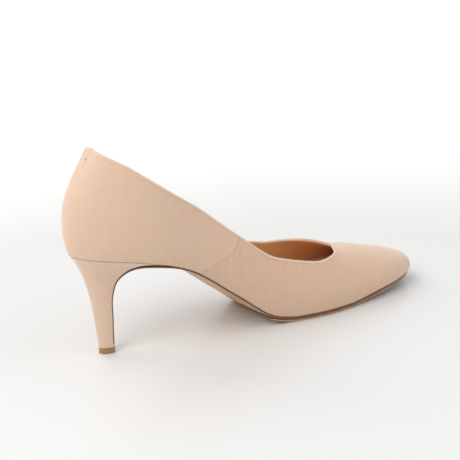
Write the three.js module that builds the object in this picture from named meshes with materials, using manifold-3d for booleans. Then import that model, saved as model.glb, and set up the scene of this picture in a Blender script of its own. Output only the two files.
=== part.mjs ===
// A left high heel pump in suede with a slim covered heel. Millimetres, +Z up, +X towards the toe, +Y to the
// outer side. It stands on the ground at z = 0, and the origin is the centre of the heel tip's ground face.
import * as THREE from "three";
import { mergeVertices } from "three/addons/utils/BufferGeometryUtils.js";
import Module from "manifold-3d";

const wasm = await Module();
wasm.setup();

// Driving dimensions. Lengths along the shoe are measured from the back of the heel.
const shoeLength = 232;
const seatHeight = 56.5; // feather edge at the back of the heel
const heelTipX = 17.7; // centre of the heel tip
const breastX = 42; // front edge of the heel under the seat
const ballX = 0.5431 * shoeLength; // where the sole meets the ground
const throatStation = 0.66;
const gap = 0.3; // clearance between neighbouring pieces
const upperThick = 1.2;
const stiffenerThick = 0.8; // counter and toe puff
const tapeThick = 0.4;
const tapeWidth = 4;
const tapeEnd = 0.86; // how far the tape runs towards the throat
const bindingWidth = 1.7;
const liningThick = 0.8;
const lastingMargin = 7; // width of upper and lining turned in under the insole board
const boardThick = 1.8;
const cushionThick = 1.4;
const sockThick = 0.8;
const outsoleThick = 1.5;
const waistThick = 1; // the outsole is pared down to this at the heel
const treadThick = 1.2;
const treadFrom = ballX - 16;
const boardJoinX = ballX + 1; // where the stiff board meets the soft forepart board
const shankFrom = 14.6;
const shankTo = ballX - 14;
const shankHalfWidth = 4.5;
const shankThick = 1.1;
const coverThick = 0.5;
const flapThick = 0.7; // and to this on the heel breast
const heelTipThick = 3.4;
const heelTipWidth = 7.8;
const heelTipLength = 7.8;
const dowelRadius = 0.75;
const dowelLength = 18;
const tubeWall = 0.3;
const tubeLength = 20;
const tubeX = 17.2;
const screwX = 19.5;
const screwRadius = 1.8;
const screwHeadRadius = 3.4;
const screwLength = 17;
const nailRadius = 0.8;
const nailHeadRadius = 1.7;
const nailLength = 8;
const nailPlaces = [[18.5, 7.4], [26.5, 9]]; // along and out, on both sides
const rivetPlaces = [48, 97];
const rivetRadius = 1.2;
const rivetHeadRadius = 2.4;
const headThick = 0.8; // screw, nail and rivet heads
const roundSides = 12;

// Heights of the layers above the sole line, and depths behind the upper's outer face
const forepartHeight = 2 * gap + outsoleThick + treadThick;
const liningLow = upperThick + gap;
const boardLow = liningLow + liningThick + gap;
const cushionLow = boardLow + boardThick + gap;
const sockLow = cushionLow + cushionThick + gap;
const stiffenerDepth = upperThick + gap;
const liningDepth = stiffenerDepth + stiffenerThick + gap;
const tapeDepth = (upperThick + liningDepth - tapeThick) / 2;
const footbedInset = liningDepth + liningThick + gap;

const { clamp, lerp, degToRad } = THREE.MathUtils;
const point = (x, y, z) => new THREE.Vector3(x, y, z);
const quarterTurn = Math.PI / 2;

// A smooth curve through points [x, y], made of cubic pieces.
function through(...points) {
  const x = points.map((p) => p[0]);
  const y = points.map((p) => p[1]);
  const last = x.length - 1;
  const rise = x.slice(1).map((v, i) => (y[i + 1] - y[i]) / (v - x[i]));
  const slope = x.map((v, i) => {
    if (i === 0 || i === last) return 0;
    const before = v - x[i - 1];
    const after = x[i + 1] - v;
    return (rise[i - 1] * after + rise[i] * before) / (before + after);
  });
  slope[0] = 2 * rise[0] - slope[1];
  slope[last] = 2 * rise[last - 1] - slope[last - 1];
  return (at) => {
    const q = clamp(at, x[0], x[last]);
    let i = 0;
    while (i < last - 1 && q > x[i + 1]) i += 1;
    const h = x[i + 1] - x[i];
    const t = (q - x[i]) / h;
    const ease = t * t * (3 - 2 * t);
    return lerp(y[i], y[i + 1], ease) + h * t * (1 - t) * (slope[i] * (1 - t) - slope[i + 1] * t);
  };
}

// The last, by station: 0 at the back of the heel and 1 at the toe tip, on x = length (1 - cos) / 2.
const OUTER = 1;
const INNER = -1;
const sides = [OUTER, INNER];
const halfWidth = {
  [OUTER]: through([0, 0], [0.12, 18], [0.25, 28], [0.4, 24.5], [0.5, 29], [0.58, 35.5], [0.66, 35.5],
    [0.75, 29.5], [0.85, 19.5], [0.93, 10.3], [1, 0]),
  [INNER]: through([0, 0], [0.12, 18], [0.25, 28], [0.4, 23.5], [0.5, 28], [0.58, 32.3], [0.66, 31],
    [0.75, 28], [0.85, 19.5], [0.93, 10.3], [1, 0]),
};
const crestHeight = through([0, 94], [0.25, 87], [0.42, 67], [0.5, 59], [0.58, 43], [0.66, 27], [0.75, 17.5],
  [0.85, 10.5], [0.93, 6], [1, 0]);
// Height under the foot, by share of the length
const soleCurve = through([0, seatHeight], [0.129, seatHeight - 2.7], [0.259, 43.2], [0.388, 22],
  [0.483, 6.4], [ballX / shoeLength, forepartHeight], [0.711, forepartHeight], [0.828, 6.8],
  [0.927, 8.4], [1, 9]);
const soleLine = (x) => Math.max(soleCurve(x / shoeLength), forepartHeight); // height of the feather edge
const bottomBulge = through([breastX, 0], [ballX - 34, 1.6], [ballX - 1, 0]); // the waist is rounded across
const backCurve = through([0, 1.2], [22, 0], [58, 19], [90, 34]); // forward lean of the back, by height
const backReach = 0.5; // the lean has faded out by this station
const leanAt = (s, rise) => backCurve(rise) * clamp(1 - s / backReach, 0, 1) ** 0.8;
const undercut = 2.2; // the wall turns in by this at the feather edge
const undercutHeight = 14;

const insetReach = 0.35; // an inset shortens only this share of the stations at each end
function stationX(s, inset = 0) {
  const [back, front] = [s, 1 - s].map((q) => clamp(1 - q / insetReach, 0, 1) ** 2);
  return (shoeLength * (1 - Math.cos(Math.PI * s))) / 2 + inset * (back - front);
}
const stationAt = (x) => Math.acos(clamp(1 - (2 * x) / shoeLength, -1, 1)) / Math.PI;
const footX = (s, inset = 0) => stationX(s, inset) + leanAt(s, 0); // x of a wall's foot
const shrunk = (size, by) => (size > 0 ? (size * size) / (size + by) : 0);
function featherHalf(s, side, inset) {
  const width = halfWidth[side](s);
  return Math.max(shrunk(width, inset) - undercut * clamp(width / 12, 0, 1), 0);
}
// Height under the foot at a place inside the feather edge.
function soleAt(x, y) {
  const edge = featherHalf(stationAt(x), y < 0 ? INNER : OUTER, 0);
  const share = clamp(Math.abs(y) / Math.max(edge, 1e-6), 0, 1);
  return soleLine(x) - bottomBulge(x) * (1 - share ** 2);
}
// Height above the sole line of a layer's foot, by its depth behind the upper's face
function lowAt(depth) {
  const share = (depth - upperThick) / (liningDepth - upperThick);
  if (depth <= upperThick) return depth;
  return depth < liningDepth ? lerp(upperThick, liningLow, share) : liningLow + depth - liningDepth;
}
// A point of the wall at a depth. The angle is 0 at the feather edge and a quarter turn at the crest.
function wallPoint(s, angle, side, depth) {
  const low = lowAt(depth);
  const width = halfWidth[side](s);
  const x = stationX(s, depth);
  const rise = shrunk(crestHeight(s), depth + low) * Math.sin(angle);
  const turnIn = undercut * clamp(1 - rise / undercutHeight, 0, 1) ** 2 * clamp(width / 12, 0, 1);
  const cos = Math.cos(angle);
  const across = cos > 1e-9 ? Math.max(shrunk(width, depth) * cos ** 0.9 - turnIn, 0) : 0;
  const foot = soleAt(footX(s, depth), side * featherHalf(s, side, depth));
  return point(x + leanAt(s, rise), side * across, foot + low + rise);
}

// The topline runs from the centre back (row 0) to the throat (row 1).
const toplineAngle = {
  [OUTER]: through([0, 35.3], [0.06, 34.9], [0.18, 31.2], [0.38, 26.9], [0.56, 28.5], [0.69, 36], [0.8, 42],
    [0.895, 61], [0.96, 84], [1, 90]),
  [INNER]: through([0, 35.3], [0.06, 34.4], [0.18, 32], [0.38, 27.4], [0.56, 32.5], [0.69, 37.5], [0.8, 44],
    [0.895, 63], [0.96, 84], [1, 90]),
};
const toplineStation = (v) => throatStation * (1 - (1 - v) ** 1.35);
// [station, angle] at a distance outside the topline, measured square to it along the wall.
function besideTopline(v, side, away) {
  const at = (q) => [toplineStation(q), degToRad(toplineAngle[side](q))];
  const [s, angle] = at(v);
  const place = (ds, da) => wallPoint(s + ds, angle + da, side, 0);
  const step = 1e-3;
  const down = place(0, 0).sub(place(0, -step)).divideScalar(step);
  const ahead = place(step, 0).sub(place(0, 0)).divideScalar(step);
  const tangent = point(0, 1, 0);
  if (v > 0 && v < 1) {
    const [s0, a0] = at(Math.max(v - 4 * step, 0));
    const [s1, a1] = at(Math.min(v + 4 * step, 1));
    tangent.copy(wallPoint(s1, a1, side, 0)).sub(wallPoint(s0, a0, side, 0)).normalize();
  }
  const square = ahead.clone().cross(down).cross(tangent).normalize();
  if (square.dot(ahead) / ahead.length() < square.dot(down) / down.length()) square.negate();
  const [aa, ad, dd] = [ahead.dot(ahead), ahead.dot(down), down.dot(down)];
  const [qa, qd] = [square.dot(ahead) * away, square.dot(down) * away];
  const scale = aa * dd - ad * ad;
  const station = Math.max(s + (qa * dd - qd * ad) / scale, 0);
  const risen = Math.min(angle + (qd * aa - qa * ad) / scale, quarterTurn);
  return [station, v === 1 ? quarterTurn : risen];
}

// The upper is a band from the feather edge (t = 0) up to the binding (t = 1). Its rows follow the topline to
// the throat (0 to 1) and run on over the toe (1 to 2), where the band closes at the crest.
const throatFeather = 0.7;
function bandPlace(v, t, side) {
  const [topStation, topAngle] = besideTopline(Math.min(v, 1), side, bindingWidth + gap);
  const start = lerp(Math.min(v, 1) * throatFeather, topStation, t);
  return [v > 1 ? lerp(start, 1, v - 1) : start, topAngle * t];
}
// The side seam between vamp and quarter, from the topline down and back to the feather edge.
const seamRow = through([0, 0.5], [0.3, 0.5265], [0.6, 0.544], [0.8, 0.5465], [1, 0.54]);
const seamGap = 0.0012;
const heights = [0, 0.1, 0.25, 0.45, 0.65, 0.83, 1];
const marginShares = [1, 0.5];
const quarterShares = [0, 0.08, 0.17, 0.28, 0.4, 0.53, 0.67, 0.84, 1];
const wingShares = [0, 0.12, 0.24, 0.36, 0.47, 0.58, 0.68, 0.77, 0.85, 0.93, 1];
const toeRows = [1.14, 1.28, 1.42, 1.54, 1.65, 1.75, 1.84, 1.91, 1.96, 2];
const quarterRow = (share, t) => (seamRow(t) - seamGap) * share;
const vampRow = (share, t) => (share <= 1 ? lerp(seamRow(t) + seamGap, 1, share) : share);
// Stations of the rows at the feather edge, which every layer under the foot shares
const footStations = [
  ...quarterShares.map((share) => bandPlace(quarterRow(share, 0), 0, OUTER)[0]),
  ...[...wingShares.slice(1), ...toeRows].map((share) => bandPlace(vampRow(share, 0), 0, OUTER)[0]),
];
const stationsBetween = (from, to) => {
  const inside = footStations.filter((s) => s > from + 0.004 && s < to - 0.004);
  return [from, ...inside, to];
};

// Pairs of [outer, inner] points of a layer: on the wall, and turned in under the insole board.
const wallPair = (v, t, side, { depth, thick }) => {
  const [s, angle] = bandPlace(v, t, side);
  return [wallPoint(s, angle, side, depth), wallPoint(s, angle, side, depth + thick)];
};
function marginPair(v, share, side, { depth, thick }) {
  const corner = wallPair(v, 0, side, { depth, thick })[1];
  const spine = point(clamp(corner.x, 24, shoeLength - 26), 0, corner.z);
  const reach = corner.distanceTo(spine);
  const inner = corner.lerp(spine, (Math.min(lastingMargin, 0.8 * reach) * share) / reach);
  const foot = soleAt(inner.x, inner.y) + lowAt(depth);
  return [point(inner.x, inner.y, foot), point(inner.x, inner.y, foot + thick)];
}

// A geometry from points and faces, turned round if its faces point inwards.
function solid(positions, indices) {
  const corner = (i) => point(...positions.slice(3 * i, 3 * i + 3));
  let volume = 0;
  for (let i = 0; i < indices.length; i += 3)
    volume += corner(indices[i]).dot(corner(indices[i + 1]).cross(corner(indices[i + 2])));
  const turnedRound = [];
  for (let i = 0; i < indices.length; i += 3) turnedRound.push(indices[i + 1], indices[i], indices[i + 2]);
  const geometry = new THREE.BufferGeometry();
  geometry.setAttribute("position", new THREE.Float32BufferAttribute(positions, 3));
  geometry.setIndex(volume < 0 ? turnedRound : indices);
  return geometry;
}
// A closed sheet from grids of [outer, inner] pairs. Grids that share edge points join there.
function sheet(...grids) {
  const positions = [];
  const seen = new Map();
  const pair = (points) => {
    const key = points.map((p) => p.toArray().map((c) => Math.round(c * 200)).join()).join();
    if (!seen.has(key)) {
      seen.set(key, positions.length / 6);
      positions.push(...points[0].toArray(), ...points[1].toArray());
    }
    return seen.get(key);
  };
  const faces = [];
  grids.forEach(({ rows, mirrored }) => {
    const ids = rows.map((row) => row.map(pair));
    for (let i = 0; i + 1 < ids.length; i += 1)
      for (let j = 0; j + 1 < ids[i].length; j += 1) {
        const [a, b, c, d] = [ids[i][j], ids[i + 1][j], ids[i + 1][j + 1], ids[i][j + 1]];
        faces.push(...(mirrored ? [[a, c, b], [a, d, c]] : [[a, b, c], [a, c, d]]));
      }
  });
  const kept = faces.filter(([a, b, c]) => a !== b && b !== c && c !== a);
  const edges = new Set(kept.flatMap(([a, b, c]) => [`${a},${b}`, `${b},${c}`, `${c},${a}`]));
  const indices = [];
  kept.forEach(([a, b, c]) => {
    indices.push(2 * a, 2 * b, 2 * c, 2 * a + 1, 2 * c + 1, 2 * b + 1);
    [[a, b], [b, c], [c, a]].forEach(([p, q]) => {
      if (!edges.has(`${q},${p}`)) indices.push(2 * q, 2 * p, 2 * p + 1, 2 * q, 2 * p + 1, 2 * q + 1);
    });
  });
  return solid(positions, indices);
}
// Joined loops of points: closed into a ring, or capped at both ends by ladders between a loop's two halves.
function loft(loops, closed = false) {
  const n = loops[0].length;
  const indices = [];
  loops.forEach((loop, i) => {
    if (!closed && i === loops.length - 1) return;
    const next = ((i + 1) % loops.length) * n;
    for (let j = 0; j < n; j += 1) {
      const k = (j + 1) % n;
      indices.push(i * n + j, next + j, next + k, i * n + j, next + k, i * n + k);
    }
  });
  if (!closed)
    [0, (loops.length - 1) * n].forEach((base) => {
      for (let j = 0; j < n / 2 - 1; j += 1) {
        const [a, b, c, d] = [j, j + 1, n - 2 - j, n - 1 - j].map((k) => base + k);
        const ladder = b === c ? [a, d, b] : [a, d, c, a, c, b];
        indices.push(...(base ? ladder : ladder.reverse()));
      }
    });
  return solid(loops.flatMap((loop) => loop.flatMap((p) => p.toArray())), indices);
}

function toManifold(geometry) {
  const bare = new THREE.BufferGeometry();
  bare.setAttribute("position", geometry.getAttribute("position"));
  bare.setIndex(geometry.index);
  const merged = mergeVertices(bare, 1e-3);
  const triangles = [];
  for (let i = 0; i < merged.index.count; i += 3) {
    const [a, b, c] = merged.index.array.slice(i, i + 3);
    if (a !== b && b !== c && c !== a) triangles.push(a, b, c);
  }
  return new wasm.Manifold(new wasm.Mesh({
    numProp: 3,
    vertProperties: merged.attributes.position.array,
    triVerts: new Uint32Array(triangles),
  }));
}
function cut(geometry, ...tools) {
  const mesh = tools.reduce((body, tool) => body.subtract(toManifold(tool)), toManifold(geometry)).getMesh();
  const result = new THREE.BufferGeometry();
  result.setAttribute("position", new THREE.Float32BufferAttribute(mesh.vertProperties, 3));
  result.setIndex([...mesh.triVerts]);
  return result;
}

// A turned piece from a profile of [radius, height] that starts and ends on its axis. It stands at a place,
// and tilts with the sole line if asked.
function turned(profile, x, y, z, tilted = false) {
  const slope = tilted ? (soleLine(x + 1) - soleLine(x - 1)) / 2 : 0;
  return new THREE.LatheGeometry(profile.map(([r, h]) => new THREE.Vector2(r, h)), roundSides)
    .rotateX(quarterTurn).rotateY(-Math.atan(slope)).translate(x, y, z);
}
const rod = (radius, length, ...place) =>
  turned([[0, 0], [radius, 0], [radius, length], [0, length]], ...place);
// A screw, nail or rivet driven down through the insole board, or the hole for it.
function headed(x, y, radius, headRadius, length, room = 0) {
  const top = soleAt(x, y) + boardLow + boardThick - gap;
  const [r, head, over] = [radius + room, headRadius + room, room * 6];
  const profile = [[0, -length - room], [r * 0.5, -length - room], [r, -length + radius - room],
    [r, -headThick - room], [head, -headThick - room], [head, over], [0, over]];
  return turned(profile, x, y, top, true);
}

// Half width of the room above the footbed for a piece whose top is at a height above the sole line
function roomHalf(s, side, top) {
  const rise = shrunk(crestHeight(s), footbedInset + lowAt(footbedInset));
  const angle = Math.asin(clamp((top + gap - lowAt(footbedInset)) / Math.max(rise, 1e-6), 0, 1));
  const wall = Math.abs(wallPoint(s, angle, side, footbedInset).y);
  const room = Math.max(Math.min(featherHalf(s, side, footbedInset), wall - gap / 2), 0);
  return angle < quarterTurn - 1e-6 ? room : 0;
}
// The last station with that room
function roomEnd(top) {
  let s = 1;
  while (roomHalf(s, OUTER, top) === 0) s -= 0.001;
  return s;
}
// A plate under the foot between two stations, inset from the feather edge or with half widths of its own.
const plateShares = [-1, -0.75, -0.45, 0, 0.45, 0.75, 1];
function plate({ from, to, inset = 0, low, thick, half }) {
  const halfAt = half ?? ((s, side) => featherHalf(s, side, inset));
  const grid = stationsBetween(from, to).map((s) => {
    const x = footX(s, inset);
    return plateShares.map((share) => {
      const y = share * halfAt(s, share < 0 ? INNER : OUTER);
      const z = soleAt(x, y) + low;
      return [point(x, y, z + thick), point(x, y, z)];
    });
  });
  return sheet({ rows: grid });
}
// A layer of the footbed, kept clear of the lining all round
function footbed({ from = 0, to = 1, low, thick }) {
  const end = Math.min(to, roomEnd(low + thick));
  const half = (s, side) => roomHalf(s, side, low + thick);
  return plate({ from, to: end, inset: footbedInset, low, thick, half });
}

// The heel: rings from the tip (k = 0) up to the seat (k = 1), each a rounded back closed by a flat breast.
const heelFoot = heelTipThick + gap;
const heelBack = through([0, heelTipX - heelTipLength / 2], [0.35, 11.9], [0.6, 9.7], [0.78, 7], [0.92, 3.8],
  [1, wallPoint(0, 0, OUTER, 0).x]);
const heelBreast = through([0, heelTipX + heelTipLength / 2 - flapThick - gap], [0.3, 20.3], [0.6, 20.4],
  [0.72, 21.8], [0.82, 24.6], [0.9, 28], [0.95, 31.6], [0.985, 37.2], [1, breastX]);
const heelHalf = through([0, heelTipWidth / 2], [0.35, 5.2], [0.6, 6.6], [0.78, 9.8], [0.9, 15.8],
  [0.96, 21], [1, featherHalf(stationAt(breastX), OUTER, 0)]);
// turn is 0 at the centre back and 1 at the breast
function heelPoint(k, turn, side, inset = 0) {
  const topStation = stationAt(breastX) * turn;
  const topBack = wallPoint(0, 0, side, 0).x;
  const top = wallPoint(topStation, 0, side, 0);
  const topEdge = wallPoint(stationAt(breastX), 0, side, 0);
  const blend = k ** 4;
  const along = lerp(1 - Math.cos(turn * quarterTurn), (top.x - topBack) / (topEdge.x - topBack), blend);
  const across = lerp(Math.sin(turn * quarterTurn), Math.abs(top.y / topEdge.y), blend);
  const x = lerp(heelBack(k) + inset, heelBreast(k), along);
  const y = side * (heelHalf(k) - inset) * across;
  return point(x, y, lerp(heelFoot, soleLine(x) - 2 * gap, k));
}
// turns run from the breast's outer edge round the back to its inner edge
const heelTurns = [1, 0.8, 0.6, 0.4, 0.2, 0, -0.2, -0.4, -0.6, -0.8, -1];
const heelLevels = [0, 0.18, 0.36, 0.52, 0.65, 0.75, 0.83, 0.9, 0.95, 0.985, 1];
const heelRing = (k, inset = 0) =>
  heelTurns.map((turn) => heelPoint(k, Math.abs(turn), turn < 0 ? INNER : OUTER, inset));

const blockInset = coverThick + gap;
const heelCover = () => sheet({
  rows: heelLevels.map((k) => {
    const inner = heelRing(k, coverThick);
    return heelRing(k).map((p, i) => [p, inner[i]]);
  }),
});
const heelBlock = () => {
  const body = loft(heelLevels.map((k) => heelRing(k, blockInset)));
  const tubeRoom = dowelRadius + gap + tubeWall + gap;
  return cut(
    body,
    rod(tubeRoom, tubeLength + 2 * gap + 5, tubeX, 0, heelFoot - 5),
    headed(screwX, 0, screwRadius, screwHeadRadius, screwLength, gap),
    ...nailSpots.map(([x, y]) => headed(x, y, nailRadius, nailHeadRadius, nailLength, gap)),
  );
};
const nailSpots = nailPlaces.flatMap(([x, y]) => sides.map((side) => [x, side * y]));

// The tip has the heel's foot outline, breast flap included, and stands on the ground.
function tipLoop(z, inset) {
  const half = heelTipLength / 2 - inset;
  return heelTurns.map((turn) => {
    const angle = Math.abs(turn) * quarterTurn;
    const x = heelTipX + half - 2 * half * Math.cos(angle);
    return point(x, Math.sign(turn) * (heelTipWidth / 2 - inset) * Math.sin(angle), z);
  });
}
const dowelLow = 1.4;
const heelTip = () => cut(
  loft([tipLoop(0, 0.3), tipLoop(0.5, 0), tipLoop(heelTipThick, 0)]),
  rod(dowelRadius + gap, heelTipThick, tubeX, 0, dowelLow - gap),
);
const heelTube = () => {
  const [inner, outer] = [dowelRadius + gap, dowelRadius + gap + tubeWall];
  const profile = [[inner, 0], [outer, 0], [outer, tubeLength], [inner, tubeLength], [inner, 0]];
  return new THREE.LatheGeometry(profile.map(([r, h]) => new THREE.Vector2(r, h)), roundSides)
    .rotateX(quarterTurn).translate(tubeX, 0, heelFoot + gap);
};

// The outsole runs from the toe back to the heel, and its flap goes on down the heel breast.
const soleEdge = 0.5; // how far the outsole's edge lies inside the feather edge
const soleThick = through([breastX, waistThick], [breastX + 24, 1.2], [ballX - 36, outsoleThick]);
const breastLevels = [0.98, 0.955, 0.925, 0.88, 0.83, 0.77, 0.68, 0.55, 0.4, 0.22, 0.02];
const outsole = () => {
  const under = stationsBetween(stationAt(breastX + 4), 1).reverse().map((s) => {
    const x = footX(s, soleEdge);
    return plateShares.map((share) => {
      const y = share * featherHalf(s, share < 0 ? INNER : OUTER, soleEdge);
      const z = soleAt(x, y) - gap;
      return [point(x, y, z - soleThick(x)), point(x, y, z)];
    });
  });
  const down = breastLevels.map((k) => {
    const here = heelPoint(k, 1, OUTER);
    const along = heelPoint(k + 0.01, 1, OUTER).sub(heelPoint(k - 0.01, 1, OUTER));
    const out = point(along.z, 0, -along.x).normalize();
    return plateShares.map((share) => {
      const y = share * (here.y - gap);
      const at = (far) => point(here.x, y, here.z).addScaledVector(out, far);
      return [at(gap + lerp(flapThick, waistThick, clamp((k - 0.75) / 0.22, 0, 1))), at(gap)];
    });
  });
  return sheet({ rows: [...under, ...down] });
};
const treadInset = 1.2;
const treadSole = () => plate({
  from: stationAt(treadFrom), to: 1, inset: treadInset, low: -forepartHeight, thick: treadThick,
});

// The upper's layers as sheets over both sides
function layer(rowsOf, columns, margins, build) {
  return sheet(...sides.map((side) => ({
    mirrored: side === INNER,
    rows: rowsOf.map((row) => [
      ...margins.map((share) => marginPair(row(0), share, side, build)),
      ...columns.map((t) => wallPair(row(t), t, side, build)),
    ]),
  })));
}
const upperBuild = { depth: 0, thick: upperThick };
const liningBuild = { depth: liningDepth, thick: liningThick };
const stiffenerBuild = { depth: stiffenerDepth, thick: stiffenerThick };
const quarterRows = quarterShares.map((share) => (t) => quarterRow(share, t));
const vampRows = [...wingShares, ...toeRows].map((share) => (t) => vampRow(share, t));

// Ribbons along the topline: the binding goes all round it, the tape stops short of the throat.
const toplineRows = [...quarterShares.map((share) => quarterRow(share, 1)), ...wingShares.slice(1)
  .map((share) => vampRow(share, 1))];
function ribbonLoops(rows, side, nearEdge, farEdge, depth, thick) {
  return rows.map((v) => {
    const at = (away, deep) => wallPoint(...besideTopline(v, side, away), side, deep);
    const back = depth + thick;
    return [at(farEdge, depth), at(nearEdge, depth), at(nearEdge, back), at(farEdge, back)];
  });
}
function toplineBinding() {
  const build = [0, bindingWidth, 0, liningDepth + liningThick];
  return loft([
    ...ribbonLoops(toplineRows, OUTER, ...build),
    ...ribbonLoops(toplineRows.slice(1, -1).reverse(), INNER, ...build),
  ], true);
}
function toplineTape() {
  const rows = toplineRows.filter((v) => v < tapeEnd);
  const build = [bindingWidth + 2 * gap, bindingWidth + 2 * gap + tapeWidth, tapeDepth, tapeThick];
  return loft([
    ...ribbonLoops(rows.slice(1).reverse(), OUTER, ...build),
    ...ribbonLoops(rows, INNER, ...build),
  ]);
}

const screwHole = () => headed(screwX, 0, screwRadius, screwHeadRadius, screwLength, gap);
const nailHoles = () => nailSpots.map(([x, y]) => headed(x, y, nailRadius, nailHeadRadius, nailLength, gap));
const rivetLength = boardThick + shankThick;
const rivetHoles = () =>
  rivetPlaces.map((x) => headed(x, 0, rivetRadius, rivetHeadRadius, rivetLength, gap));
const boardJoin = footStations.find((s) => s > stationAt(boardJoinX));
const fillerFrom = boardJoin + 0.005;
const fillerTo = stationAt(188);
const marginRoom = liningDepth + liningThick + lastingMargin + gap;

// Materials by name: colour, roughness and metalness
const looks = {
  suede: [0xd9b596, 0.95, 0],
  suedeEdge: [0xe3cbb4, 0.9, 0],
  lining: [0xb98a5f, 0.6, 0],
  tape: [0xeae4d8, 0.9, 0],
  stiffener: [0xd8cbb2, 0.8, 0],
  board: [0xa8845c, 0.9, 0],
  foam: [0xe8e0cf, 0.95, 0],
  leatherSole: [0xa9825f, 0.5, 0],
  treadRubber: [0x9c7656, 0.7, 0],
  heelPlastic: [0xe2ddd2, 0.5, 0],
  tipRubber: [0x9a6f45, 0.55, 0],
  steel: [0xb4b6ba, 0.35, 1],
};
const group = new THREE.Group();
group.name = "high_heel_pump";
function add(name, geometry, look) {
  const [color, roughness, metalness] = looks[look];
  const mesh = new THREE.Mesh(geometry, new THREE.MeshStandardMaterial({ color, roughness, metalness }));
  mesh.name = name;
  mesh.geometry.translate(-heelTipX, 0, 0);
  group.add(mesh);
}

add("vamp", layer(vampRows, heights, marginShares, upperBuild), "suede");
add("quarter", layer(quarterRows, heights, marginShares, upperBuild), "suede");
add("topline_binding", toplineBinding(), "suedeEdge");
add("topline_tape", toplineTape(), "tape");
add("vamp_lining", layer(vampRows, heights, marginShares, liningBuild), "lining");
add("quarter_lining", layer(quarterRows, heights, marginShares, liningBuild), "lining");
add("heel_counter", layer(quarterRows.slice(0, 6), heights.slice(1, 5), [], stiffenerBuild), "stiffener");
add("toe_puff", layer(vampRows.slice(-6), heights.slice(1), [], stiffenerBuild), "stiffener");
const joinGap = 0.0015; // of a station, at the joins across the footbed
add("insole_board", cut(
  footbed({ to: boardJoin - joinGap, low: boardLow, thick: boardThick }),
  screwHole(), ...nailHoles(), ...rivetHoles(),
), "board");
add("insole_forepart", footbed({ from: boardJoin + joinGap, low: boardLow, thick: boardThick }), "board");
add("shank", cut(plate({
  from: stationAt(shankFrom), to: stationAt(shankTo), low: boardLow - gap - shankThick, thick: shankThick,
  half: () => shankHalfWidth,
}), screwHole(), ...rivetHoles()), "steel");
rivetPlaces.forEach((x, i) => {
  add(`shank_rivet_${i + 1}`, headed(x, 0, rivetRadius, rivetHeadRadius, rivetLength), "steel");
});
add("bottom_filler", plate({
  from: fillerFrom, to: fillerTo, low: 0, thick: boardLow - gap,
  half: (s, side) => featherHalf(s, side, 0) - marginRoom,
}), "foam");
const padJoin = footStations[quarterShares.length - 1] + 0.0008;
add("heel_pad", footbed({ to: padJoin - joinGap, low: cushionLow, thick: cushionThick }), "foam");
add("arch_pad", footbed({
  from: padJoin + joinGap, to: boardJoin - joinGap, low: cushionLow, thick: cushionThick,
}), "foam");
add("forepart_cushion", footbed({
  from: boardJoin + joinGap, low: cushionLow, thick: cushionThick,
}), "foam");
add("sock_lining", footbed({ low: sockLow, thick: sockThick }), "lining");
add("outsole", outsole(), "leatherSole");
add("tread_sole", treadSole(), "treadRubber");
add("heel_block", heelBlock(), "heelPlastic");
add("heel_cover", heelCover(), "suede");
add("heel_tip", heelTip(), "tipRubber");
add("heel_tip_dowel", rod(dowelRadius, dowelLength, tubeX, 0, dowelLow), "steel");
add("heel_tube", heelTube(), "steel");
add("heel_screw", headed(screwX, 0, screwRadius, screwHeadRadius, screwLength), "steel");
nailSpots.forEach(([x, y], i) => {
  add(`heel_nail_${i + 1}`, headed(x, y, nailRadius, nailHeadRadius, nailLength), "steel");
});

export default group;
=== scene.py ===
import math

import bpy
import numpy as np
from mathutils import Matrix, Vector


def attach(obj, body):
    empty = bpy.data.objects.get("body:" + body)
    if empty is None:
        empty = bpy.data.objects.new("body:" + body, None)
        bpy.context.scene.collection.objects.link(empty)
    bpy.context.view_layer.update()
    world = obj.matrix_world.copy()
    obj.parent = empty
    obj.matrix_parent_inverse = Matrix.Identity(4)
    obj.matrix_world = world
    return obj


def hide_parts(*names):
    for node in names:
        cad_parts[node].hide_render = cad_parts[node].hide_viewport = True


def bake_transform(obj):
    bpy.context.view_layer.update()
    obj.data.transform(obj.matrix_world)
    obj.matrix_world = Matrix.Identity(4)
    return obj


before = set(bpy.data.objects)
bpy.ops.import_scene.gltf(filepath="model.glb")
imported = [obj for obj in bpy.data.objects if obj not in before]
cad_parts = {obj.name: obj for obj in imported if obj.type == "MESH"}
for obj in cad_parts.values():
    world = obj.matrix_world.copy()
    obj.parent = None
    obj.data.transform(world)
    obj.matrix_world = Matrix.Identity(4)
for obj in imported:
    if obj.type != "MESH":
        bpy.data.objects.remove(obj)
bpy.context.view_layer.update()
scene = bpy.context.scene
print("frame loaded")

# camera: it looks down and across at the shoe's inner side, from a little behind
cameraSet = {
    "target": (0.08629, 0.00796, 0.05031),
    "turn": 33.55,
    "height": 16.85,
    "roll": -1.02,
    "distance": 0.581,
    "lens": 79.59,
    "sensor": 36,
}


def makeCamera():
    turn, height, roll = (math.radians(cameraSet[k]) for k in ("turn", "height", "roll"))
    flat = math.cos(height)
    forward = Vector((math.sin(turn) * flat, math.cos(turn) * flat, -math.sin(height)))
    level = Vector((math.cos(turn), -math.sin(turn), 0))
    upright = level.cross(forward)
    right = level * math.cos(roll) + upright * math.sin(roll)
    up = upright * math.cos(roll) - level * math.sin(roll)
    data = bpy.data.cameras.new("camera")
    data.lens, data.sensor_width = cameraSet["lens"], cameraSet["sensor"]
    data.clip_start, data.clip_end = 0.01, 50
    seat = bpy.data.objects.new("camera", data)
    scene.collection.objects.link(seat)
    place = Vector(cameraSet["target"]) - forward * cameraSet["distance"]
    seat.matrix_world = Matrix.Translation(place) @ Matrix((right, up, -forward)).transposed().to_4x4()
    scene.camera = seat


makeCamera()

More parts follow.
